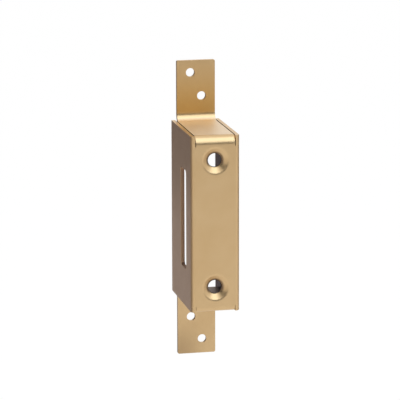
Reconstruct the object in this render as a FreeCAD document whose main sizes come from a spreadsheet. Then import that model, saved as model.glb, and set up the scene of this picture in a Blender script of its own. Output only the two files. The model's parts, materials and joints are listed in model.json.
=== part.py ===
import FreeCAD, Part
import math
import os

import Sketcher

# Box strike plate, also called a box keep: one sheet of metal, cut as a cross and folded.
# The front plate carries two pressed countersinks. Its two long sides fold back into the side
# walls, and the strap above and below it folds back and then out again into the two flanges.
# Millimetres. X runs across the plate, Y from the front face to the door frame, Z is up.
# The origin is on the front face, midway between the two countersunk holes.

os.makedirs("parts", exist_ok=True)
doc = FreeCAD.newDocument("BoxStrikePlate")

# Driving sizes
SIZES = {
    # The folded sheet
    "sheet": 2.0,
    "plate_width": 25.0,
    "plate_height": 90.0,
    "box_depth": 48.0,
    "front_bend": 0.5,
    "top_bend": 2.5,
    "flange_bend": 3.8,
    # The cuts between the strap and the side walls: open above, almost closed below
    "corner_gap": 0.5,
    "top_relief": 5.2,
    "bottom_relief": 2.8,
    "bottom_slit": 0.15,
    # The flanges, measured from the faces of the box that they fold out of
    "upper_flange": 31.0,
    "lower_flange": 34.0,
    "flange_corner": 0.8,
    # The screw holes of the flanges, two on a slant in each
    "flange_hole": 4.5,
    "flange_hole_columns": 5.8,
    "flange_hole_step": 12.2,
    "upper_hole_end": 6.3,
    "lower_hole_end": 7.6,
    # The bolt's way in through one side wall
    "slot_length": 51.0,
    "slot_width": 13.0,
    "slot_setback": 12.5,
    "slot_corner": 2.0,
    # The pressed countersinks, their axes measured from the plate's ends
    "screw_end": 12.5,
    "mouth": 13.1,
    "mouth_lip": 2.0,
    "neck": 6.9,
    "neck_round": 0.6,
    "cone_depth": 2.15,
    "neck_depth": 3.4,
    "boss_wall": 1.6,
    "boss_root": 0.6,
}

sheet = doc.addObject("Spreadsheet::Sheet", "Sizes")
for row, (name, size) in enumerate(SIZES.items(), start=1):
    sheet.set(f"A{row}", name)
    sheet.set(f"B{row}", str(size))
    sheet.setAlias(f"B{row}", name)
doc.recompute()

# Faces and places worked out from the driving sizes
SIDE_OUTER = "(Sizes.plate_width / 2)"
SIDE_INNER = f"({SIDE_OUTER} - Sizes.sheet)"
STRAP_SIDE = f"({SIDE_INNER} - Sizes.corner_gap)"
END_OUTER = "(Sizes.plate_height / 2)"
END_INNER = f"({END_OUTER} - Sizes.sheet)"
TOP_RELIEF_END = f"({END_OUTER} - Sizes.top_relief)"
BOTTOM_RELIEF_END = f"(Sizes.bottom_relief - {END_OUTER})"
BOTTOM_RELIEF_SIDE = f"({STRAP_SIDE} + Sizes.bottom_slit)"
UPPER_TIP = f"({END_OUTER} + Sizes.upper_flange)"
LOWER_TIP = f"({END_OUTER} + Sizes.lower_flange)"
FLANGE_FACE = "(Sizes.box_depth - Sizes.sheet)"
FRONT_BEND_OUTER = "(Sizes.front_bend + Sizes.sheet)"
TOP_BEND_OUTER = "(Sizes.top_bend + Sizes.sheet)"
FLANGE_BEND_OUTER = "(Sizes.flange_bend + Sizes.sheet)"
SLOT_BACK = "(Sizes.slot_setback + Sizes.slot_width)"
SLOT_END = "(Sizes.slot_length / 2)"
COLUMN = "(Sizes.flange_hole_columns / 2)"
SCREW_AXIS = f"({END_OUTER} - Sizes.screw_end)"

# The countersink's wall keeps one thickness, so its back is the funnel's cone moved outwards.
CONE_SLOPE = "((Sizes.mouth - Sizes.neck) / 2 / Sizes.cone_depth)"
CONE_STRETCH = f"sqrt(1 + {CONE_SLOPE}^2)"
BOSS_RADIUS = "(Sizes.neck / 2 + Sizes.boss_wall)"
BOSS_KNEE = f"(Sizes.cone_depth + Sizes.boss_wall * ({CONE_STRETCH} - 1) / {CONE_SLOPE})"
BOSS_FOOT = f"(Sizes.mouth / 2 - Sizes.sheet * {CONE_SLOPE} + Sizes.boss_wall * {CONE_STRETCH})"

NEAR = 1e-4
QUARTER_TURN = math.pi / 2

body = doc.addObject("PartDesign::Body", "StrikePlate")
body.Label = "strike_plate"
body.Placement = FreeCAD.Placement()


def value_of(expression):
    """The number that an expression has with the sheet's present sizes."""
    return float(sheet.evalExpression(expression))


def origin_plane(role):
    """One of the body's own origin planes, found by its role."""
    return next(plane for plane in body.Origin.OriginFeatures if plane.Role == role)


def new_sketch(name, role):
    """An empty sketch that lies on an origin plane of the body."""
    sketch = body.newObject("Sketcher::SketchObject", name)
    sketch.AttachmentSupport = [(origin_plane(role), "")]
    sketch.MapMode = "FlatFace"
    return sketch


def dimension(sketch, label, expression, kind, *places):
    """Add a dimension to a sketch and tie it to the sheet."""
    index = sketch.addConstraint(Sketcher.Constraint(kind, *places, value_of(expression)))
    sketch.renameConstraint(index, label)
    sketch.setExpression(f"Constraints.{label}", expression)


def hold_point(sketch, label, piece, end, across=None, up=None):
    """Fix a point's distances from the sketch's origin. A distance of None leaves it free."""
    if across is not None:
        dimension(sketch, f"{label}_across", across, "DistanceX", -1, 1, piece, end)
    if up is not None:
        dimension(sketch, f"{label}_up", up, "DistanceY", -1, 1, piece, end)


def square_outline(sketch, label, sides):
    """Close a ring of upright and level lines, with round or sharp corners between them.

    Each side gives the coordinate that it keeps, its place, and the radius of the corner
    that follows it, which is None where the corner is sharp.
    """
    places = [value_of(place) for _, place, _ in sides]
    corners = []
    for number, (kept, _, _) in enumerate(sides):
        after = places[(number + 1) % len(sides)]
        pair = (places[number], after) if kept == "across" else (after, places[number])
        corners.append(FreeCAD.Vector(*pair, 0))
    ways = [(corners[n] - corners[n - 1]).normalize() for n in range(len(sides))]
    radii = [0.0 if radius is None else value_of(radius) for _, _, radius in sides]

    lines = []
    for number, (kept, place, _) in enumerate(sides):
        start = corners[number - 1] + ways[number] * radii[number - 1]
        end = corners[number] - ways[number] * radii[number]
        line = sketch.addGeometry(Part.LineSegment(start, end), False)
        lines.append(line)
        if kept == "across":
            sketch.addConstraint(Sketcher.Constraint("Vertical", line))
            hold_point(sketch, f"{label}{number}", line, 1, across=place)
        else:
            sketch.addConstraint(Sketcher.Constraint("Horizontal", line))
            hold_point(sketch, f"{label}{number}", line, 1, up=place)

    for number, (_, _, radius) in enumerate(sides):
        here = lines[number]
        following = (number + 1) % len(sides)
        if radius is None:
            sketch.addConstraint(Sketcher.Constraint("Coincident", here, 2, lines[following], 1))
            continue
        way_in, way_out = ways[number], ways[following]
        centre = corners[number] + (way_out - way_in) * radii[number]
        circle = Part.Circle(centre, FreeCAD.Vector(0, 0, 1), radii[number])
        turns_left = way_in.cross(way_out).z > 0
        opening = way_out.negative() if turns_left else way_in
        start_angle = math.atan2(opening.y, opening.x)
        arc = Part.ArcOfCircle(circle, start_angle, start_angle + QUARTER_TURN)
        bend = sketch.addGeometry(arc, False)
        arc_in, arc_out = (1, 2) if turns_left else (2, 1)
        sketch.addConstraint(Sketcher.Constraint("Tangent", here, 2, bend, arc_in))
        sketch.addConstraint(Sketcher.Constraint("Tangent", bend, arc_out, lines[following], 1))
        dimension(sketch, f"{label}{number}_radius", radius, "Radius", bend)


def turned_profile(sketch, axis_height, points):
    """Close a ring of straight lines beside an axis that lies along the sketch's first way.

    Each point gives its distance along the axis and its distance from it.
    """
    heights = [f"{axis_height} + {radius}" for _, radius in points]
    spots = [
        FreeCAD.Vector(value_of(along), value_of(height), 0)
        for (along, _), height in zip(points, heights)
    ]
    first_line = sketch.GeometryCount
    for number, spot in enumerate(spots):
        sketch.addGeometry(Part.LineSegment(spot, spots[(number + 1) % len(spots)]), False)
    for number, (along, _) in enumerate(points):
        before = first_line + (number - 1) % len(points)
        line = first_line + number
        sketch.addConstraint(Sketcher.Constraint("Coincident", before, 2, line, 1))
        hold_point(sketch, f"point{number}", line, 1, across=along, up=heights[number])
    axis = sketch.addGeometry(Part.LineSegment(spots[0], spots[-1]), True)
    sketch.addConstraint(Sketcher.Constraint("Coincident", axis, 1, first_line, 1))
    sketch.addConstraint(Sketcher.Constraint("Coincident", axis, 2, first_line + len(points) - 1, 1))


def swept_feature(kind, name, sketch, expression=None):
    """A pad or pocket of a sketch, with its length tied to the sheet or right through."""
    feature = body.newObject(f"PartDesign::{kind}", name)
    feature.Profile = sketch
    if expression is None:
        feature.Type = "ThroughAll"
    else:
        feature.setExpression("Length", expression)
    return feature


def turned_feature(kind, name, sketch):
    """A revolution or groove of a sketch, all the way round its construction line."""
    feature = body.newObject(f"PartDesign::{kind}", name)
    feature.Profile = sketch
    feature.ReferenceAxis = (sketch, ["Axis0"])
    feature.Angle = 360.0
    return feature


def rounded_edges(name, radius, wanted):
    """Round the edges of the body's last feature that a test picks out."""
    doc.recompute()
    base = body.Tip
    edges = [f"Edge{n}" for n, edge in enumerate(base.Shape.Edges, start=1) if wanted(edge)]
    feature = body.newObject("PartDesign::Fillet", name)
    feature.Base = (base, edges)
    feature.setExpression("Radius", radius)
    return feature


def is_ring(edge, radius, depth):
    """Whether an edge is a circle about the Y direction, of this radius and at this depth."""
    if not isinstance(edge.Curve, Part.Circle):
        return False
    same_radius = abs(edge.Curve.Radius - value_of(radius)) < NEAR
    return same_radius and abs(edge.Curve.Center.y - value_of(depth)) < NEAR


# Front plate and side walls: one channel section, as tall as the plate
section = new_sketch("channel_section", "XY_Plane")
square_outline(section, "wall", [
    ("across", SIDE_OUTER, None),
    ("up", "Sizes.box_depth", None),
    ("across", SIDE_INNER, "Sizes.front_bend"),
    ("up", "Sizes.sheet", "Sizes.front_bend"),
    ("across", f"-{SIDE_INNER}", None),
    ("up", "Sizes.box_depth", None),
    ("across", f"-{SIDE_OUTER}", FRONT_BEND_OUTER),
    ("up", "0", FRONT_BEND_OUTER),
])
channel = swept_feature("Pad", "channel", section, "Sizes.plate_height")
channel.SideType = "Symmetric"

# Corner reliefs: the plate's two ends are cut back between the side walls
ends = new_sketch("relief_outlines", "XZ_Plane")
for label, side, low_end, high_end in (
    ("upper", SIDE_INNER, TOP_RELIEF_END, END_OUTER),
    ("lower", BOTTOM_RELIEF_SIDE, f"-{END_OUTER}", BOTTOM_RELIEF_END),
):
    square_outline(ends, label, [
        ("across", side, None),
        ("up", high_end, None),
        ("across", f"-{side}", None),
        ("up", low_end, None),
    ])
reliefs = swept_feature("Pocket", "corner_reliefs", ends, FRONT_BEND_OUTER)

# Strap: the lower flange, the bottom, the front strip, the top and the upper flange
profile = new_sketch("strap_profile", "YZ_Plane")
square_outline(profile, "face", [
    ("up", UPPER_TIP, None),
    ("across", "Sizes.box_depth", FLANGE_BEND_OUTER),
    ("up", END_INNER, "Sizes.top_bend"),
    ("across", "Sizes.sheet", "Sizes.front_bend"),
    ("up", f"-{END_INNER}", FLANGE_BEND_OUTER),
    ("across", "Sizes.box_depth", None),
    ("up", f"-{LOWER_TIP}", None),
    ("across", FLANGE_FACE, "Sizes.flange_bend"),
    ("up", f"-{END_OUTER}", FRONT_BEND_OUTER),
    ("across", "0", TOP_BEND_OUTER),
    ("up", END_OUTER, "Sizes.flange_bend"),
    ("across", FLANGE_FACE, None),
])
strap = swept_feature("Pad", "strap", profile, f"2 * {STRAP_SIDE}")
strap.SideType = "Symmetric"

# Pressed countersink: its wall stands behind the plate, and the funnel runs through it
boss_profile = new_sketch("boss_profile", "YZ_Plane")
turned_profile(boss_profile, SCREW_AXIS, [
    ("Sizes.sheet / 2", "0"),
    ("Sizes.sheet / 2", BOSS_FOOT),
    ("Sizes.sheet", BOSS_FOOT),
    (BOSS_KNEE, BOSS_RADIUS),
    ("Sizes.neck_depth", BOSS_RADIUS),
    ("Sizes.neck_depth", "0"),
])
boss = turned_feature("Revolution", "boss", boss_profile)

funnel_profile = new_sketch("funnel_profile", "YZ_Plane")
turned_profile(funnel_profile, SCREW_AXIS, [
    ("0", "0"),
    ("0", "Sizes.mouth / 2"),
    ("Sizes.cone_depth", "Sizes.neck / 2"),
    ("Sizes.neck_depth", "Sizes.neck / 2"),
    ("Sizes.neck_depth", "0"),
])
funnel = turned_feature("Groove", "funnel", funnel_profile)

lower_countersink = body.newObject("PartDesign::Mirrored", "lower_countersink")
lower_countersink.Originals = [boss, funnel]
lower_countersink.MirrorPlane = (origin_plane("XY_Plane"), [""])
body.Tip = lower_countersink

# Slot in the left side wall only, where the bolt enters the box
slot_outline = new_sketch("slot_outline", "YZ_Plane")
square_outline(slot_outline, "edge", [
    ("across", SLOT_BACK, "Sizes.slot_corner"),
    ("up", SLOT_END, "Sizes.slot_corner"),
    ("across", "Sizes.slot_setback", "Sizes.slot_corner"),
    ("up", f"-{SLOT_END}", "Sizes.slot_corner"),
])
bolt_slot = swept_feature("Pocket", "bolt_slot", slot_outline)

# Screw holes of the flanges: the outer ones by the flange's end, the inner ones a step nearer
UPPER_HOLE = f"({UPPER_TIP} - Sizes.upper_hole_end)"
LOWER_HOLE = f"(Sizes.lower_hole_end - {LOWER_TIP})"
hole_centres = {
    "upper_left": (f"-{COLUMN}", UPPER_HOLE),
    "upper_right": (COLUMN, f"({UPPER_HOLE} - Sizes.flange_hole_step)"),
    "lower_left": (f"-{COLUMN}", f"({LOWER_HOLE} + Sizes.flange_hole_step)"),
    "lower_right": (COLUMN, LOWER_HOLE),
}
hole_circles = new_sketch("flange_hole_circles", "XZ_Plane")
for label, (across, up) in hole_centres.items():
    centre = FreeCAD.Vector(value_of(across), value_of(up), 0)
    round_hole = Part.Circle(centre, FreeCAD.Vector(0, 0, 1), value_of("Sizes.flange_hole / 2"))
    circle = hole_circles.addGeometry(round_hole, False)
    hold_point(hole_circles, label, circle, 3, across=across, up=up)
    dimension(hole_circles, f"{label}_hole", "Sizes.flange_hole", "Diameter", circle)
flange_holes = swept_feature("Pocket", "flange_holes", hole_circles)

# Rounded lips and throats of the countersinks, and the root of the pressed wall behind them
lips = rounded_edges(
    "countersink_lips", "Sizes.mouth_lip", lambda edge: is_ring(edge, "Sizes.mouth / 2", "0"))
throats = rounded_edges(
    "countersink_throats", "Sizes.neck_round",
    lambda edge: is_ring(edge, "Sizes.neck / 2", "Sizes.cone_depth"))
roots = rounded_edges(
    "countersink_roots", "Sizes.boss_root", lambda edge: is_ring(edge, BOSS_FOOT, "Sizes.sheet"))


def is_flange_corner(edge):
    """Whether an edge crosses the sheet at one of the four corners of a flange's end."""
    middle = edge.BoundBox.Center
    at_side = abs(abs(middle.x) - value_of(STRAP_SIDE)) < NEAR
    at_tip = min(abs(middle.z - value_of(UPPER_TIP)), abs(middle.z + value_of(LOWER_TIP))) < NEAR
    return at_side and at_tip


corners = rounded_edges("flange_corners", "Sizes.flange_corner", is_flange_corner)
doc.recompute()

# Every feature has to be sound, and each cut has to take material away
failed = [
    item.Name for item in doc.Objects
    if "Invalid" in item.State or "Error" in item.State
]
if failed:
    raise RuntimeError(f"These objects failed: {failed}")
cuts = (reliefs, funnel, bolt_slot, flange_holes, lips, throats)
for adds, steps in ((True, (strap, boss)), (False, cuts)):
    for step in steps:
        gained = step.Shape.Volume > step.BaseFeature.Shape.Volume
        if gained != adds:
            raise RuntimeError(f"{step.Name} points the wrong way")
if body.Shape.isNull() or not body.Shape.isValid() or len(body.Shape.Solids) != 1:
    raise RuntimeError("The strike plate is not one sound solid")

body.Shape.exportStep(f"parts/{body.Label}.step")
box = body.Shape.BoundBox
print(f"{body.Label}: {box.XLength:.2f} x {box.YLength:.2f} x {box.ZLength:.2f} mm")
print(f"volume {body.Shape.Volume:.1f} mm3, {len(body.Shape.Faces)} faces")
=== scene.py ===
# %% [markdown]
# # A folded door strike plate
#
# This lesson models one product: the deep strike plate, or box keep, that a surface lock's bolt
# slides into. It is a single sheet of steel, cut as a cross, pressed, folded and coated in a
# satin gold. The measured model of it is loaded first and stays fixed. Everything made here is
# in metres and in its frame: X across the plate, Y from the front towards the door frame, Z up.

import json
import math

import bmesh
import bpy
from mathutils import Matrix, Vector


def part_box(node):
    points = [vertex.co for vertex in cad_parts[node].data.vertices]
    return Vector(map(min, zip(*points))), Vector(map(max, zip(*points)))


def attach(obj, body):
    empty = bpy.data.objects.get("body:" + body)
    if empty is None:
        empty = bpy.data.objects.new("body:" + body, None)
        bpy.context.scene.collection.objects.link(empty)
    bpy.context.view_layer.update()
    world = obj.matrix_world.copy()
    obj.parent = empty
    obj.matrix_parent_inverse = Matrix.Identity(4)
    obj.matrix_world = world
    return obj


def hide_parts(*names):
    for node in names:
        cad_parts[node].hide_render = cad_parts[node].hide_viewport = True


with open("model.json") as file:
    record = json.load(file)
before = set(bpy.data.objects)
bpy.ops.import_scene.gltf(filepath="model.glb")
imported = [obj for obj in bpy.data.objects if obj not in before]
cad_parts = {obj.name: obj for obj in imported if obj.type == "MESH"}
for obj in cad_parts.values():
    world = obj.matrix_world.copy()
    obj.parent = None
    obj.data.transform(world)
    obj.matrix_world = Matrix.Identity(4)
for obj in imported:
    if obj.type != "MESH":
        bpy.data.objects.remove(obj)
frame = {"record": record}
bpy.context.view_layer.update()

# %% [markdown]
# The keep's outline and its screw holes are in the measured model already, so their sizes are
# read from it. Only what it doesn't name, such as the bends and the slot, is written here.

# %% Sizes of the sheet
MM = 0.001
NODE = "strike_plate"
LOW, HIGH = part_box(NODE)
MOUNTS = {mount["name"]: mount for mount in frame["record"]["mounts"]}

SHEET = 2.0 * MM
SIDE = HIGH.x
DEPTH = HIGH.y
BOX_END = 45.0 * MM
TIGHT_BEND, SOFT_BEND = 0.5 * MM, 2.5 * MM
CORNER_GAP = 0.5 * MM
STRAP_SIDE = SIDE - SHEET - CORNER_GAP
FRONT_BEND = TIGHT_BEND + SHEET
TOP_BEND = SOFT_BEND + SHEET
FLANGE_BEND = 3.8 * MM
FLANGE_CORNER = 0.8 * MM

TOP_RELIEF_END = BOX_END - 5.2 * MM
BOTTOM_RELIEF_END = 2.8 * MM - BOX_END
TOP_SLIT = 0.3 * MM
BOTTOM_SLIT = 0.15 * MM

SLOT_FRONT, SLOT_BACK, SLOT_END = 12.5 * MM, 25.5 * MM, 25.5 * MM
SLOT_CORNER = 2.0 * MM
print(f"plate {2 * SIDE / MM:.1f} by {2 * BOX_END / MM:.1f} mm, depth {DEPTH / MM:.1f} mm")

# %% Sizes of the screw holes
SCREWS = MOUNTS["front_screws"]
SCREW_AXIS = SCREWS["dims"]["spacing_y_mm"] * MM / 2
NECK = SCREWS["dims"]["hole_r_mm"] * MM


def hole_centres():
    """The flange holes' centres, as pairs of X and Z."""
    centres = []
    for name in ("flange_screws_left", "flange_screws_right"):
        across, _, middle = MOUNTS[name]["pos_m"]
        half = MOUNTS[name]["dims"]["spacing_y_mm"] * MM / 2
        centres += [(across, middle + half), (across, middle - half)]
    return centres


HOLES = hole_centres()
HOLE = MOUNTS["flange_screws_left"]["dims"]["hole_r_mm"] * MM
print("flange holes at", [(round(x / MM, 1), round(z / MM, 1)) for x, z in HOLES], "mm")

# %% [markdown]
# ## The blank
#
# A press tool first cuts the flat blank. It could be drawn as one outline and filled, but the
# bends need rows of narrow faces, and those are easiest to get while the sheet is flat. So the
# blank is laid out as panels of quads between lines, with a line at each step of each bend.
# Only the visible skin is drawn, and the sheet gets its thickness after folding.

# %% Lines of the bends
BEND_STEPS = 14
RIGHT_ANGLE = math.pi / 2


def bend_lines(start, radius):
    """The places of a right-angled bend's lines in the flat skin, from first to last."""
    step = 2 * radius * math.sin(RIGHT_ANGLE / 2 / BEND_STEPS)
    return [start + step * number for number in range(BEND_STEPS + 1)]


def strap_bends(front_bend):
    """The lines of the strap's bend at the front plate and of its bend at the flange."""
    at_front = bend_lines(BOX_END - front_bend, front_bend)
    roof = DEPTH - SHEET - FLANGE_BEND - front_bend
    return at_front, bend_lines(at_front[-1] + roof, FLANGE_BEND)


WALL_BEND = bend_lines(SIDE - FRONT_BEND, FRONT_BEND)
WALL_EDGE = WALL_BEND[-1] + DEPTH - FRONT_BEND
BENDS = {1: strap_bends(TOP_BEND), -1: strap_bends(FRONT_BEND)}
print(f"walls bend from {WALL_BEND[0] / MM:.2f} to {WALL_BEND[-1] / MM:.2f} mm in the flat")

# %% Panels of quads
skin = bmesh.new()


def panel(across, up):
    """A flat panel of quads between lines, made by lifting a row of edges line by line."""
    verts = [skin.verts.new((place, 0, up[0])) for place in across]
    row = [skin.edges.new(pair) for pair in zip(verts, verts[1:])]
    for below, above in zip(up, up[1:]):
        grown = bmesh.ops.extrude_edge_only(skin, edges=row)["geom"]
        lifted = {part for part in grown if isinstance(part, bmesh.types.BMVert)}
        bmesh.ops.translate(skin, verts=list(lifted), vec=(0, 0, above - below))
        row = [
            part for part in grown
            if isinstance(part, bmesh.types.BMEdge) and lifted.issuperset(part.verts)
        ]


def flipped(lines):
    """The same lines on the other side, in rising order."""
    return [-line for line in reversed(lines)]


# %% Lay out the front plate and the walls
SCREW_ROW = 24.0 * MM
SLOT_ROW = 29.0 * MM
walls = sorted([*WALL_BEND, STRAP_SIDE + BOTTOM_SLIT, WALL_EDGE])
rows = [
    -BOX_END, BOTTOM_RELIEF_END, -SLOT_ROW, -SCREW_ROW,
    SCREW_ROW, SLOT_ROW, TOP_RELIEF_END, BOX_END,
]
panel(flipped(walls) + walls, rows)
print("faces of the plate and walls:", len(skin.faces))

# %% [markdown]
# The panel is as tall as the walls, so its ends are cut away between them, where the strap will
# pass. The cut is a little wider than the strap, which leaves the relief slits at its sides.
# The upper slits can be seen, and the lower ones are hardly wider than a shear's cut.

# %% Cut the ends of the plate away


def faces_in(across, up):
    """The skin's faces with their middles in a region, given by its low and high in X and Z."""
    found = []
    for face in skin.faces:
        middle = face.calc_center_median()
        if across[0] < middle.x < across[1] and up[0] < middle.z < up[1]:
            found.append(face)
    return found


for relief_side, low_end, high_end in (
        (STRAP_SIDE + TOP_SLIT, TOP_RELIEF_END, BOX_END),
        (STRAP_SIDE + BOTTOM_SLIT, -BOX_END, BOTTOM_RELIEF_END)):
    waste = faces_in((-relief_side, relief_side), (low_end, high_end))
    bmesh.ops.delete(skin, geom=waste, context="FACES")
print("faces left:", len(skin.faces))

# %% Lay out the strap
MERGE = 0.001 * MM
upper_holes = [hole for hole in HOLES if hole[1] > 0]
lower_holes = [hole for hole in HOLES if hole[1] < 0]


def in_flange(height):
    """Where a height of the folded flange lies up the flat blank."""
    flange_bend = BENDS[math.copysign(1, height)][1]
    return math.copysign(flange_bend[-1] + abs(height) - BOX_END - FLANGE_BEND, height)


def strap_rows(relief_end, tip, holes):
    """The rows of one end of the strap, outwards, with one between the flange's two holes."""
    side = math.copysign(1, tip)
    at_front, at_flange = BENDS[side]
    between = (holes[0][1] + holes[1][1]) / 2
    bends = [side * line for line in (*at_front, *at_flange)]
    return [relief_end, *bends, in_flange(between), in_flange(tip)]


panel([-STRAP_SIDE, STRAP_SIDE], strap_rows(TOP_RELIEF_END, HIGH.z, upper_holes))
panel([-STRAP_SIDE, STRAP_SIDE], strap_rows(BOTTOM_RELIEF_END, LOW.z, lower_holes)[::-1])
bmesh.ops.remove_doubles(skin, verts=skin.verts[:], dist=MERGE)
print("faces of the whole blank:", len(skin.faces))

# %% [markdown]
# ## Piercing
#
# A hole in a mesh needs faces that run round it. Each one is made the same way: the quads
# around it are taken out, its outline is drawn in the gap, and the gap is filled up to the
# outline. A round outline is a vertex spun about the hole's axis. The slot's is a rectangle
# with its corners rounded off.

# %% Fill round an outline
THROUGH = Vector((0, 1, 0))


def ring(across, up, radius, steps):
    """A closed ring of edges in the flat skin."""
    start = skin.verts.new((across + radius, 0, up))
    bmesh.ops.spin(
        skin, geom=[start], cent=(across, 0, up), axis=THROUGH,
        angle=2 * math.pi, steps=steps, use_merge=True)
    return [edge for edge in skin.edges if edge.is_wire]


def pierce(across, up, outline):
    """Open a window in the skin and fill it again up to the outline that stands in it."""
    window = faces_in(across, up)
    sides = [edge for face in window for edge in face.edges]
    inner = [edge for edge in dict.fromkeys(sides) if sides.count(edge) == 2]
    border = [edge for edge in sides if sides.count(edge) == 1]
    bmesh.ops.delete(skin, geom=window, context="FACES_ONLY")
    bmesh.ops.delete(skin, geom=inner, context="EDGES")
    bmesh.ops.triangle_fill(skin, use_beauty=True, use_dissolve=False, edges=border + outline)


# %% Pierce the plate for the two screws
SCREW_STEPS = 64
PRESS_RING = 7.4 * MM
for side, (at_front, _) in BENDS.items():
    cell = sorted((side * SCREW_ROW, side * at_front[0]))
    outline = ring(0, side * SCREW_AXIS, PRESS_RING, SCREW_STEPS)
    pierce((-STRAP_SIDE, STRAP_SIDE), cell, outline)
print("faces with the plate pierced:", len(skin.faces))

# %% Pierce the left wall for the bolt
SLOT_STEPS = 6


def in_wall(depth):
    """Where a depth behind the front face lies across the flat blank."""
    return WALL_BEND[-1] + depth - FRONT_BEND


corners = [
    skin.verts.new((-in_wall(depth), 0, height))
    for depth, height in (
        (SLOT_FRONT, -SLOT_END), (SLOT_BACK, -SLOT_END),
        (SLOT_BACK, SLOT_END), (SLOT_FRONT, SLOT_END))
]
for corner, after in zip(corners, corners[1:] + corners[:1]):
    skin.edges.new((corner, after))
bmesh.ops.bevel(
    skin, geom=corners, offset=SLOT_CORNER, offset_type="OFFSET", segments=SLOT_STEPS,
    profile=0.5, affect="VERTICES", material=-1)
outline = [edge for edge in skin.edges if edge.is_wire]
pierce((-WALL_EDGE, -WALL_BEND[-1]), (-SLOT_ROW, SLOT_ROW), outline)
print("slot outline of", len(outline), "edges; faces:", len(skin.faces))

# %% Round and pierce the flanges
CORNER_STEPS = 5
HOLE_STEPS = 40
FLAT_TIPS = [in_flange(tip) for tip in (HIGH.z, LOW.z)]
tip_corners = [
    v for v in skin.verts
    if any(abs(v.co.z - tip) < MERGE for tip in FLAT_TIPS)
]
bmesh.ops.bevel(
    skin, geom=tip_corners, offset=FLANGE_CORNER, offset_type="OFFSET", segments=CORNER_STEPS,
    profile=0.5, affect="VERTICES", material=-1)
for side, holes, tip in ((1, upper_holes, FLAT_TIPS[0]), (-1, lower_holes, FLAT_TIPS[1])):
    root = side * BENDS[side][1][-1]
    between = sum(in_flange(height) for _, height in holes) / 2
    for across, height in holes:
        up = in_flange(height)
        cell = sorted((between, tip if abs(up) > abs(between) else root))
        pierce((-STRAP_SIDE, STRAP_SIDE), cell, ring(across, up, HOLE, HOLE_STEPS))
print("faces of the pierced blank:", len(skin.faces))
print("loose edges:", sum(edge.is_wire for edge in skin.edges))

# %% [markdown]
# ## Folding
#
# A press brake bends the blank about one line at a time, and so does this cell. Each bend is a
# fan of small turns about its lines. The first and last lines turn by half a step, so that the
# fan's corners lie on a true arc. Working from the outermost line inwards, all that lies inside
# a line is still flat, so the line itself is where it was drawn.

# %% Fold about a bend's lines
flat_place = {v: v.co.copy() for v in skin.verts}


def fold(part, way, lines, axis, angle):
    """Turn what lies beyond each of a bend's lines, the outermost line first."""
    step = angle / (len(lines) - 1)
    for number in reversed(range(len(lines))):
        beyond = [v for v in part if flat_place[v].dot(way) > lines[number] + MERGE]
        turn = step / 2 if number in (0, len(lines) - 1) else step
        bmesh.ops.rotate(
            skin, verts=beyond, cent=way * lines[number], matrix=Matrix.Rotation(turn, 3, axis))


ALONG = Vector((1, 0, 0))
UPRIGHT = Vector((0, 0, 1))
plate_and_walls = [v for v in skin.verts if abs(v.co.z) < BOX_END + MERGE]
strap = [v for v in skin.verts if abs(v.co.x) < STRAP_SIDE + MERGE]
for side, (at_front, at_flange) in BENDS.items():
    fold(strap, side * UPRIGHT, at_flange, ALONG, side * RIGHT_ANGLE)
    fold(strap, side * UPRIGHT, at_front, ALONG, -side * RIGHT_ANGLE)
    fold(plate_and_walls, side * ALONG, WALL_BEND, UPRIGHT, side * RIGHT_ANGLE)
reach = [max(v.co[axis] for v in skin.verts) / MM for axis in range(3)]
print("folded skin reaches", [round(place, 3) for place in reach], "mm")

# %% [markdown]
# ## Thickness
#
# The folded skin is what the eye sees from outside, so the sheet's thickness goes inwards from
# it. Solidify copies the skin along its normals and closes the rims, which gives each bend its
# tight inner radius. Its direction follows the faces, so they are made to face outwards first.

# %% Face outwards and thicken
bmesh.ops.recalc_face_normals(skin, faces=skin.faces[:])
plate_face = min(skin.faces, key=lambda face: face.calc_center_median().y)
plate_face.normal_update()
if plate_face.normal.y > 0:
    bmesh.ops.reverse_faces(skin, faces=skin.faces[:])
bmesh.ops.solidify(skin, geom=skin.faces[:], thickness=SHEET)
lows = [min(v.co[axis] for v in skin.verts) / MM for axis in range(3)]
highs = [max(v.co[axis] for v in skin.verts) / MM for axis in range(3)]
print("sheet with its thickness:", [round(v, 3) for v in lows], [round(v, 3) for v in highs])
print("open edges:", sum(not edge.is_manifold for edge in skin.edges))

# %% [markdown]
# ## The pressed countersinks
#
# A punch draws each countersink down through the sheet: the metal rolls over at a soft lip,
# runs down a cone and ends in a short neck behind the plate. Its form is the same all the way
# round, so one section of it is drawn and spun about the screw's axis. The section starts on
# the front of the ring that was pierced for it and ends on the ring's back.

# %% Draw the section
MOUTH = 6.55 * MM
CONE_DEPTH, NECK_DEPTH = 2.15 * MM, 3.4 * MM
BOSS_WALL = 1.6 * MM
LIP_ROUND, THROAT_ROUND, NECK_END_ROUND = 2.0 * MM, 0.6 * MM, 0.2 * MM
BOSS_END_ROUND, BOSS_KNEE_ROUND, BOSS_FOOT_ROUND = 0.15 * MM, 0.4 * MM, 0.6 * MM
slope = (MOUTH - NECK) / CONE_DEPTH
stretch = math.hypot(1, slope)
BOSS = NECK + BOSS_WALL
section = [
    ((PRESS_RING, 0), 0),
    ((MOUTH, 0), LIP_ROUND),
    ((NECK, CONE_DEPTH), THROAT_ROUND),
    ((NECK, NECK_DEPTH), NECK_END_ROUND),
    ((BOSS, NECK_DEPTH), BOSS_END_ROUND),
    ((BOSS, CONE_DEPTH + BOSS_WALL * (stretch - 1) / slope), BOSS_KNEE_ROUND),
    ((MOUTH - SHEET * slope + BOSS_WALL * stretch, SHEET), BOSS_FOOT_ROUND),
    ((PRESS_RING, SHEET), 0),
]
ROUND_STEPS = 5
print("corners of the section:", len(section) - 2)


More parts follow.
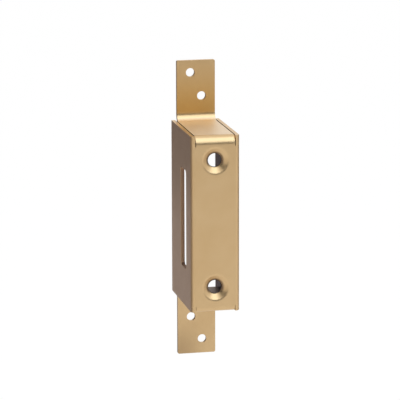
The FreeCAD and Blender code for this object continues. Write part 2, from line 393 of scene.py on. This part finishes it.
def draw_section(screw_height):
    """The countersink's section as a chain of edges beside its axis, with its corners round."""
    points = [Vector((radius, depth, screw_height)) for (radius, depth), _ in section]
    chain = [skin.verts.new(point) for point in points]
    for start, end in zip(chain, chain[1:]):
        skin.edges.new((start, end))
    for number in range(1, len(section) - 1):
        before, here, after = points[number - 1:number + 2]
        turn = (here - before).angle(after - here)
        bmesh.ops.bevel(
            skin, geom=[chain[number]], offset=section[number][1] * math.tan(turn / 2),
            offset_type="OFFSET", segments=ROUND_STEPS, profile=0.5, affect="VERTICES", material=-1)
    return [part for part in (*skin.verts, *skin.edges) if part.is_wire]


# %% Spin both countersinks into their rings
def in_ring(vert, screw_height):
    """Whether a vertex stands on the ring that was pierced round a screw's axis."""
    return abs(math.hypot(vert.co.x, vert.co.z - screw_height) - PRESS_RING) < MERGE


for screw_height in (SCREW_AXIS, -SCREW_AXIS):
    rim = [face for face in skin.faces if all(in_ring(v, screw_height) for v in face.verts)]
    bmesh.ops.delete(skin, geom=rim, context="FACES")
    bmesh.ops.spin(
        skin, geom=draw_section(screw_height), cent=(0, 0, screw_height), axis=THROUGH,
        angle=2 * math.pi, steps=SCREW_STEPS, use_merge=True)
bmesh.ops.remove_doubles(skin, verts=skin.verts[:], dist=MERGE)
bmesh.ops.recalc_face_normals(skin, faces=skin.faces[:])
print("faces with the countersinks:", len(skin.faces))
print("open or loose edges:", sum(not edge.is_manifold for edge in skin.edges))
print("volume", round(skin.calc_volume() / MM**3, 1), "mm3")

# %% [markdown]
# ## Sheared edges
#
# A cut edge is never quite sharp. The punch draws the sheet's face down a little as it goes
# in, and the coat rounds what is left. So each outward corner gets a narrow bevel, which also
# gives it the thin line of light that a real edge has.

# %% Soften the cut edges
SHARP = math.radians(50)
EDGE_ROUND = 0.12 * MM
EDGE_STEPS = 2
cut_edges = [
    edge for edge in skin.edges
    if edge.is_manifold and edge.calc_face_angle_signed() > SHARP
]
bmesh.ops.bevel(
    skin, geom=cut_edges, offset=EDGE_ROUND, offset_type="OFFSET", segments=EDGE_STEPS,
    profile=0.5, affect="EDGES", clamp_overlap=False, material=-1)
print("edges softened:", len(cut_edges), "faces:", len(skin.faces))

# %% [markdown]
# ## The piece
#
# The finished form leaves the bmesh and becomes an object. Its bends have to look round and its
# walls flat. More and smaller faces would do that, but shading does it for less: the faces are
# shaded smooth, edges above an angle stay sharp, and a modifier lets the larger faces decide
# how the light turns, so the walls stay flat up to their bends.

# %% Make the piece
SMOOTH_BELOW = math.radians(40)

keep_mesh = bpy.data.meshes.new("keep_body")
skin.to_mesh(keep_mesh)
skin.free()
for polygon in keep_mesh.polygons:
    polygon.use_smooth = True
keep_mesh.set_sharp_from_angle(angle=SMOOTH_BELOW)
keep = bpy.data.objects.new("keep_body", keep_mesh)
bpy.context.scene.collection.objects.link(keep)
shading = keep.modifiers.new("even_shading", "WEIGHTED_NORMAL")
shading.keep_sharp = True
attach(keep, "root")
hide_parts(NODE)
print("triangles:", sum(len(p.vertices) - 2 for p in keep_mesh.polygons))

# %% [markdown]
# ## The finish
#
# The keep has a thin satin coat in a pale bronze gold. On the real sheet it isn't even: its tint
# drifts from place to place, and the rolled sheet's grain breaks its gloss. Inside the box, where
# hardly any of the coat reaches, the metal stays brown and dull, and its dark tint there is also
# painted shade of the box's hollow and its slits. Deep in the screws' funnels the tint is painted
# shade too. The roof and the bend up to the upper flange get a paler tint, a painted sheen that
# stands for their brighter reflection, and the upper flange a deeper one at its foot, a painted
# reflection of the roof. The lower flange is a little darker towards its lower left end. The tints
# could be given to faces, but their borders would then follow the mesh. Here one metallic shader
# tells the places apart by where a point lies, and noise does the rest, so no picture and no
# painted mask is needed.

# %% Nodes for numbers
def math_node(tree, operation, *values):
    """A Math node on its values, each a socket or a number; gives its socket."""
    node = tree.nodes.new("ShaderNodeMath")
    node.operation = operation
    for socket, value in zip(node.inputs, values):
        if isinstance(value, bpy.types.NodeSocket):
            tree.links.new(value, socket)
        else:
            socket.default_value = value
    return node.outputs[0]


def all_of(tree, first, *others):
    """The product of factors' sockets, which is 1 only where all of them are."""
    product = first
    for other in others:
        product = math_node(tree, "MULTIPLY", product, other)
    return product


def mapped(tree, value, old_range, new_range=(0.0, 1.0), way="SMOOTHSTEP"):
    """A value's socket, taken from one range to another and held at its ends."""
    node = tree.nodes.new("ShaderNodeMapRange")
    node.interpolation_type = way
    tree.links.new(value, node.inputs["Value"])
    node.inputs["From Min"].default_value, node.inputs["From Max"].default_value = old_range
    node.inputs["To Min"].default_value, node.inputs["To Max"].default_value = new_range
    return node.outputs["Result"]


# %% Nodes for places
def vector_node(tree, operation, vector, factors=(1, 1, 1)):
    """A Vector Math node on a socket and fixed factors; gives its socket."""
    node = tree.nodes.new("ShaderNodeVectorMath")
    node.operation = operation
    tree.links.new(vector, node.inputs[0])
    node.inputs[1].default_value = factors
    return node.outputs["Vector"]


def axes(tree, place):
    """A place's X, Y and Z sockets."""
    node = tree.nodes.new("ShaderNodeSeparateXYZ")
    tree.links.new(place, node.inputs[0])
    return tuple(node.outputs)


def in_box(tree, place, low, high):
    """A socket that is 1 for the points in a box between two corners, and 0 outside it."""
    return all_of(tree, *(
        math_node(tree, "COMPARE", socket, (start + end) / 2, (end - start) / 2)
        for socket, start, end in zip(axes(tree, place), low, high)))


# %% Nodes for patterns and colours
def noise(tree, place, size, detail):
    """Noise with features of one size in metres; gives its factor's socket."""
    node = tree.nodes.new("ShaderNodeTexNoise")
    node.inputs["Scale"].default_value = 1 / size
    node.inputs["Detail"].default_value = detail
    tree.links.new(place, node.inputs["Vector"])
    return node.outputs["Fac"]


def tint(tree, share, first, second):
    """A colour between two, each a socket or a colour, by a factor's socket."""
    node = tree.nodes.new("ShaderNodeMix")
    node.data_type = "RGBA"
    tree.links.new(share, node.inputs["Factor"])
    for name, value in (("A", first), ("B", second)):
        socket = next(s for s in node.inputs if s.name == name and s.type == "RGBA")
        if isinstance(value, bpy.types.NodeSocket):
            tree.links.new(value, socket)
        else:
            socket.default_value = (*value, 1)
    return next(s for s in node.outputs if s.type == "RGBA")


# %% [markdown]
# A mask is a factor that is 1 at one place of the keep and 0 elsewhere. Most are boxes in the
# keep's own coordinates, a little larger than the faces they hold. The keep's two halves are
# alike inside and at the screws, so those boxes test the coordinates with their signs dropped.
# Where one tint runs out into another, the mask is a ramp between two heights or places.

# %% Masks inside and in the cuts
CLEAR = 0.1 * MM
SILL_HEIGHT = 0.8 * MM
INNER_SIDE, INNER_END = SIDE - SHEET, BOX_END - SHEET


def inside_bare_and_shade_mask(tree, unsigned):
    """1 inside the box, in the screws' necks and in the slits beside the roof; there the coat is
    dark, partly as dull bare metal and partly as painted shade.
    """
    box = in_box(
        tree, unsigned, (-CLEAR, SHEET - CLEAR, -CLEAR),
        (INNER_SIDE + CLEAR, DEPTH + CLEAR, INNER_END + CLEAR))
    slits = in_box(
        tree, unsigned, (STRAP_SIDE - MERGE, TOP_BEND, INNER_END),
        (INNER_SIDE + MERGE, DEPTH, BOX_END - EDGE_ROUND))
    funnel_ends = in_box(
        tree, unsigned, (-CLEAR, SHEET - CLEAR, SCREW_AXIS - BOSS),
        (BOSS, SHEET + CLEAR, SCREW_AXIS + BOSS))
    elsewhere = math_node(tree, "SUBTRACT", 1.0, funnel_ends)
    return all_of(tree, math_node(tree, "MAXIMUM", box, slits), elsewhere)


def punched_mask(tree, place):
    """1 on the slot's punched faces."""
    return in_box(
        tree, place, (CLEAR - SIDE, SLOT_FRONT - CLEAR, -SLOT_END - CLEAR),
        (-INNER_SIDE - CLEAR, SLOT_BACK + CLEAR, SLOT_END + CLEAR))


# %% Masks outside
# These ranges place the painted shade in the funnels, the painted sheen on the roof and the painted
# reflection on the upper flange; the lower flange's fades only darken it towards its lower left
# end.
THROAT_DEPTHS = (1.1 * MM, 1.9 * MM)
THROAT_FLOOR = (-4.2 * MM, -1.4 * MM)
ROOF_FADE = (BOX_END + 1.6 * MM, BOX_END + 0.4 * MM)
FLANGE_FOOT = (BOX_END + 2.0 * MM, BOX_END + 5.0 * MM)
UPPER_FLANGE_REFLECTION_FADE = (84.0 * MM, 50.0 * MM)
LOWER_FADE = (-58.0 * MM, LOW.z)
LEFT_FADE = (7.0 * MM, -8.0 * MM)


def funnel_shade_mask(tree, place, unsigned):
    """1 deep in the screws' funnels, except on their floors, which see the lamp; there the coat is
    darkened as painted shade.
    """
    _, depth, height = axes(tree, place)
    funnels = in_box(
        tree, unsigned, (-CLEAR, 0, SCREW_AXIS - MOUTH), (MOUTH, SHEET, SCREW_AXIS + MOUTH))
    axis_height = math_node(tree, "MULTIPLY", math_node(tree, "SIGN", height), SCREW_AXIS)
    above_axis = math_node(tree, "SUBTRACT", height, axis_height)
    return all_of(
        tree, funnels, mapped(tree, depth, THROAT_DEPTHS),
        mapped(tree, above_axis, THROAT_FLOOR))


def roof_sheen_mask(tree, place, height):
    """1 on the roof, going to 0 up the bend at the upper flange; there a paler tint is painted as
    sheen.
    """
    roof = in_box(
        tree, place, (-STRAP_SIDE - CLEAR, TOP_BEND, BOX_END - CLEAR),
        (STRAP_SIDE + CLEAR, DEPTH - SHEET + CLEAR, BOX_END + FLANGE_BEND))
    return all_of(tree, roof, mapped(tree, height, ROOF_FADE))


def all_masks(tree, place):
    """The masks by name, in the order in which their tints are laid over each other."""
    unsigned = vector_node(tree, "ABSOLUTE", place)
    across, _, height = axes(tree, place)
    punched = punched_mask(tree, place)
    return {
        # The upper flange's mask carries a painted reflection and shade, deepest at the flange's
        # foot.
        "upper flange": all_of(
            tree, mapped(tree, height, UPPER_FLANGE_REFLECTION_FADE), mapped(tree, height, FLANGE_FOOT)),
        "lower flange": all_of(
            tree, mapped(tree, height, LOWER_FADE), mapped(tree, across, LEFT_FADE)),
        "roof": roof_sheen_mask(tree, place, height),
        "punched": punched,
        "sill": all_of(
            tree, punched, math_node(tree, "LESS_THAN", height, SILL_HEIGHT - SLOT_END)),
        "throat": funnel_shade_mask(tree, place, unsigned),
        "inside": inside_bare_and_shade_mask(tree, unsigned),
    }


# %% [markdown]
# The tints are laid over the coat one after another, each by its mask. Noise seldom leaves the
# middle of its range, so that middle is spread over the whole drift of the tint and the gloss.
# The grain is noise drawn out along the sheet, as rolling leaves it.

# %% Tints of the coat, with painted light and shade, and its gloss
COAT = (0.69, 0.485, 0.26)
COAT_DEEP = (0.64, 0.43, 0.215)
PLACE_TINTS_AND_PAINTED_LIGHT = {
    # painted reflection and shade: a deeper gold at the upper flange's foot, below the roof
    "upper flange": (0.62, 0.36, 0.12),
    "lower flange": (0.50, 0.34, 0.18),
    # painted sheen: a paler gold on the roof and up its bend, for a brighter reflection and a
    # whiter highlight
    "roof": (0.825, 0.66, 0.465),
    "punched": (0.75, 0.51, 0.34),
    "sill": (0.30, 0.19, 0.13),
    # painted shade deep in the screws' funnels
    "throat": (0.20, 0.13, 0.08),
    # dull bare metal inside, darkened further as painted shade of the hollow and the slits
    "inside": (0.15, 0.10, 0.07),
}
NOISE_RANGE = (0.3, 0.7)
DRIFT_SIZE, DRIFT_DETAIL, DRIFT_MOST = 14.0 * MM, 2.0, 0.6
COAT_ROUGHNESS = (0.31, 0.41)
PLACE_DULLNESS = {"inside": 0.12, "punched": 0.3, "roof": 0.12}
GRAIN_SIZE, GRAIN_DETAIL = 0.3 * MM, 3.0
GRAIN_SQUEEZE = (1, 1, 0.15)
GRAIN_STRENGTH, GRAIN_HEIGHT = 0.12, 0.05 * MM
print("the coat's tint at", len(PLACE_TINTS_AND_PAINTED_LIGHT), "places; roughness outside", COAT_ROUGHNESS)


# %% Satin gold coat
def satin_gold():
    """The keep's gold coat: uneven outside, dull on the punched edge, dull bare metal with painted
    shade inside and in the funnels, a painted sheen on the roof and a painted reflection on the
    upper flange.
    """
    material = bpy.data.materials.new("satin_gold_coat")
    material.use_nodes = True
    tree = material.node_tree
    shader = tree.nodes["Principled BSDF"]
    shader.inputs["Metallic"].default_value = 1.0
    place = tree.nodes.new("ShaderNodeTexCoord").outputs["Object"]
    masks = all_masks(tree, place)

    drift = noise(tree, place, DRIFT_SIZE, DRIFT_DETAIL)
    drift = mapped(tree, drift, NOISE_RANGE, (0.0, DRIFT_MOST), "LINEAR")
    colour = tint(tree, drift, COAT, COAT_DEEP)
    # Four of these tints are painted light: shade in the funnels and, in part, inside the box, the
    # roof's sheen and the upper flange's reflection.
    for name, mask in masks.items():
        colour = tint(tree, mask, colour, PLACE_TINTS_AND_PAINTED_LIGHT[name])
    tree.links.new(colour, shader.inputs["Base Color"])

    drawn_out = vector_node(tree, "MULTIPLY", place, GRAIN_SQUEEZE)
    grain = noise(tree, drawn_out, GRAIN_SIZE, GRAIN_DETAIL)
    roughness = mapped(tree, grain, NOISE_RANGE, COAT_ROUGHNESS, "LINEAR")
    for name, more in PLACE_DULLNESS.items():
        dullness = math_node(tree, "MULTIPLY", masks[name], more)
        roughness = math_node(tree, "ADD", roughness, dullness)
    tree.links.new(roughness, shader.inputs["Roughness"])

    bump = tree.nodes.new("ShaderNodeBump")
    bump.inputs["Strength"].default_value = GRAIN_STRENGTH
    bump.inputs["Distance"].default_value = GRAIN_HEIGHT
    tree.links.new(grain, bump.inputs["Height"])
    tree.links.new(bump.outputs["Normal"], shader.inputs["Normal"])
    return material


keep_mesh.materials.append(satin_gold())
print("coat of", len(keep_mesh.materials[0].node_tree.nodes), "nodes")

# %% [markdown]
# ## The stage
#
# The keep was photographed on plain white, with soft light from above and in front. A satin
# metal shows what stands around it, so the studio is built as carefully as the keep: a pale
# floor, a white world, one large lamp over the front, and dark cards. The cards are what gives
# a metal its shape. Without them every face would be the same pale gold.

# %% What a ray sees
def seen(tree):
    """A socket that is 1 for camera, glossy and transmission rays, and 0 for the rest."""
    path = tree.nodes.new("ShaderNodeLightPath")
    socket = path.outputs["Is Camera Ray"]
    for name in ("Is Glossy Ray", "Is Transmission Ray"):
        socket = math_node(tree, "MAXIMUM", socket, path.outputs[name])
    return socket


# %% Sheets and paint for the stage
HALF_UNIT = 0.5


def stage_sheet(name, material, size, turn):
    """A flat rectangle of the stage: a grid of 1 m each way, scaled and put in its place."""
    flat = bmesh.new()
    bmesh.ops.create_grid(flat, x_segments=1, y_segments=1, size=HALF_UNIT)
    bmesh.ops.scale(flat, verts=flat.verts[:], vec=(*size, 1))
    bmesh.ops.transform(flat, matrix=turn, verts=flat.verts[:])
    mesh = bpy.data.meshes.new(name)
    flat.to_mesh(mesh)
    flat.free()
    mesh.materials.append(material)
    sheet = bpy.data.objects.new(name, mesh)
    bpy.context.scene.collection.objects.link(sheet)
    return sheet


def matt_material(name, colour, roughness):
    """Matt paint for the stage; gives the material and its shader."""
    material = bpy.data.materials.new(name)
    material.use_nodes = True
    paint = material.node_tree.nodes["Principled BSDF"]
    paint.inputs["Base Color"].default_value = (*colour, 1)
    paint.inputs["Roughness"].default_value = roughness
    paint.inputs["Specular IOR Level"].default_value = 0.0
    return material, paint


# %% Floor
FLOOR_DROP = 0.25
FLOOR_SIZE = 16.0
FLOOR_PAINT, FLOOR_ROUGHNESS = 0.9, 0.9
FLOOR_GLOW = 0.85


def floor_paint():
    """Pale paint that a ray sees as white, with the keep's shadow still on it."""
    material, paint = matt_material("pale_floor", [FLOOR_PAINT] * 3, FLOOR_ROUGHNESS)
    tree = material.node_tree
    glow = tree.nodes.new("ShaderNodeEmission")
    blend = tree.nodes.new("ShaderNodeMixShader")
    tree.links.new(math_node(tree, "MULTIPLY", seen(tree), FLOOR_GLOW), blend.inputs["Fac"])
    tree.links.new(paint.outputs["BSDF"], blend.inputs[1])
    tree.links.new(glow.outputs["Emission"], blend.inputs[2])
    tree.links.new(blend.outputs["Shader"], tree.nodes["Material Output"].inputs["Surface"])
    return material


floor_height = LOW.z - FLOOR_DROP
stage_sheet(
    "floor", floor_paint(), (FLOOR_SIZE, FLOOR_SIZE),
    Matrix.Translation((0, 0, floor_height)))
print(f"floor at {floor_height:.3f} m")

# %% World
ROOM_LIGHT = 1.1

world = bpy.data.worlds.new("studio")
bpy.context.scene.world = world
world.use_nodes = True
world_tree = world.node_tree
room = world_tree.nodes["Background"]
room.inputs["Color"].default_value = (1, 1, 1, 1)
room_strength = mapped(
    world_tree, seen(world_tree), (0.0, 1.0), (ROOM_LIGHT, 1.0), "LINEAR")
world_tree.links.new(room_strength, room.inputs["Strength"])
print("world of strength 1 to the eye and", ROOM_LIGHT, "as light")


# %% Lamp
def facing(place, aim):
    """The placement of a flat thing that stands at a place and looks at a point."""
    turn = (Vector(aim) - Vector(place)).to_track_quat("-Z", "Y").to_matrix().to_4x4()
    return Matrix.Translation(place) @ turn


def lamp(name, place, aim, size, strength, colour):
    """A rectangular soft lamp at a place, aimed at a point."""
    light = bpy.data.lights.new(name, "AREA")
    light.shape = "RECTANGLE"
    light.size, light.size_y = size
    light.energy = strength
    light.color = colour
    holder = bpy.data.objects.new(name, light)
    holder.matrix_world = facing(place, aim)
    bpy.context.scene.collection.objects.link(holder)
    print(name, "of", size, "m and", strength, "W")


MIDDLE = (0, 0, 0)
lamp(
    "top_softbox", place=(0.26, -0.47, 0.80), aim=MIDDLE, size=(0.75, 1.1), strength=3.9,
    colour=(0.62, 0.80, 1.0))

# %% [markdown]
# Each card stands where some face of the keep reflects it to the camera. The two behind darken
# the left wall, and those on the left and the right the upright bends. The one in front draws
# the dark line under the top bend's highlight, and the one at the front left darkens the lower
# right of the screws' funnels. A ray from the camera, a shadow ray and the soft light pass
# through them, so they change nothing but reflections.

# %% Dark cards
CARD_ROUGHNESS = 1.0


def dark_card(name, place, size, shade):
    """A dark card that faces the keep, and which only reflections show."""
    material, _ = matt_material(name, shade, CARD_ROUGHNESS)
    card = stage_sheet(name, material, size, facing(place, MIDDLE))
    card.visible_camera = False
    card.visible_diffuse = False
    card.visible_shadow = False


CARDS = {
    "card_behind_left": ((-0.28, 0.42, 0.12), (0.56, 0.5), (0.135, 0.115, 0.13)),
    "card_behind_low": ((-0.28, 0.42, -0.22), (0.56, 0.24), (0.31, 0.29, 0.33)),
    "card_in_front": ((0.0, -1.6, 0.35), (3.2, 0.7), (0.04, 0.04, 0.04)),
    "card_front_left": ((-0.6, -0.66, 0.5), (0.5, 0.6), (0.04, 0.04, 0.04)),
    "card_left": ((-0.545, 0.077, 0.0), (0.37, 0.7), (0.25, 0.22, 0.225)),
    "card_left_low": ((-0.79, -0.48, -0.1), (0.40, 0.4), (0.72, 0.68, 0.63)),
    "card_right": ((0.9, 0.2, -0.05), (0.6, 0.5), (0.15, 0.13, 0.12)),
}
for name, (place, size, shade) in CARDS.items():
    dark_card(name, place, size, shade)
print("cards:", len(CARDS))

# %% [markdown]
# ## The camera
#
# The photo was taken from a little to the left and above, from far enough away that the keep's
# upright edges stay nearly parallel. The camera could be placed by eye, but its height and its
# distance change the picture in much the same way. So its place was found by fitting the
# model's edges to the photo's, and is written as angles and a distance from the box's middle.

# %% Camera
CAMERA_AZIMUTH = math.radians(-12.3)
CAMERA_ELEVATION = math.radians(12.26)
CAMERA_ROLL = math.radians(-0.15)
CAMERA_DISTANCE = 1300.0 * MM
CAMERA_LENS, SENSOR_WIDTH = 229.9, 36.0
AIM_RIGHT, AIM_UP = -2.75 * MM, 7.36 * MM

back = Vector((
    math.sin(CAMERA_AZIMUTH) * math.cos(CAMERA_ELEVATION),
    -math.cos(CAMERA_AZIMUTH) * math.cos(CAMERA_ELEVATION),
    math.sin(CAMERA_ELEVATION)))
level_right = UPRIGHT.cross(back).normalized()
level_up = back.cross(level_right)
roll = Matrix.Rotation(CAMERA_ROLL, 3, back)
right, up = roll @ level_right, roll @ level_up
box_middle = Vector((0, DEPTH / 2, 0))
camera_data = bpy.data.cameras.new("photo_camera")
camera_data.lens = CAMERA_LENS
camera_data.sensor_width = SENSOR_WIDTH
camera = bpy.data.objects.new("photo_camera", camera_data)
camera_place = box_middle + back * CAMERA_DISTANCE + right * AIM_RIGHT + up * AIM_UP
camera_turn = Matrix((right, up, back)).transposed().to_4x4()
camera.matrix_world = Matrix.Translation(camera_place) @ camera_turn
bpy.context.scene.collection.objects.link(camera)
bpy.context.scene.camera = camera
bpy.context.scene.view_settings.view_transform = "Standard"
print("camera at", [round(c, 3) for c in camera_place], "m")

# %% Update the scene
bpy.context.view_layer.update()
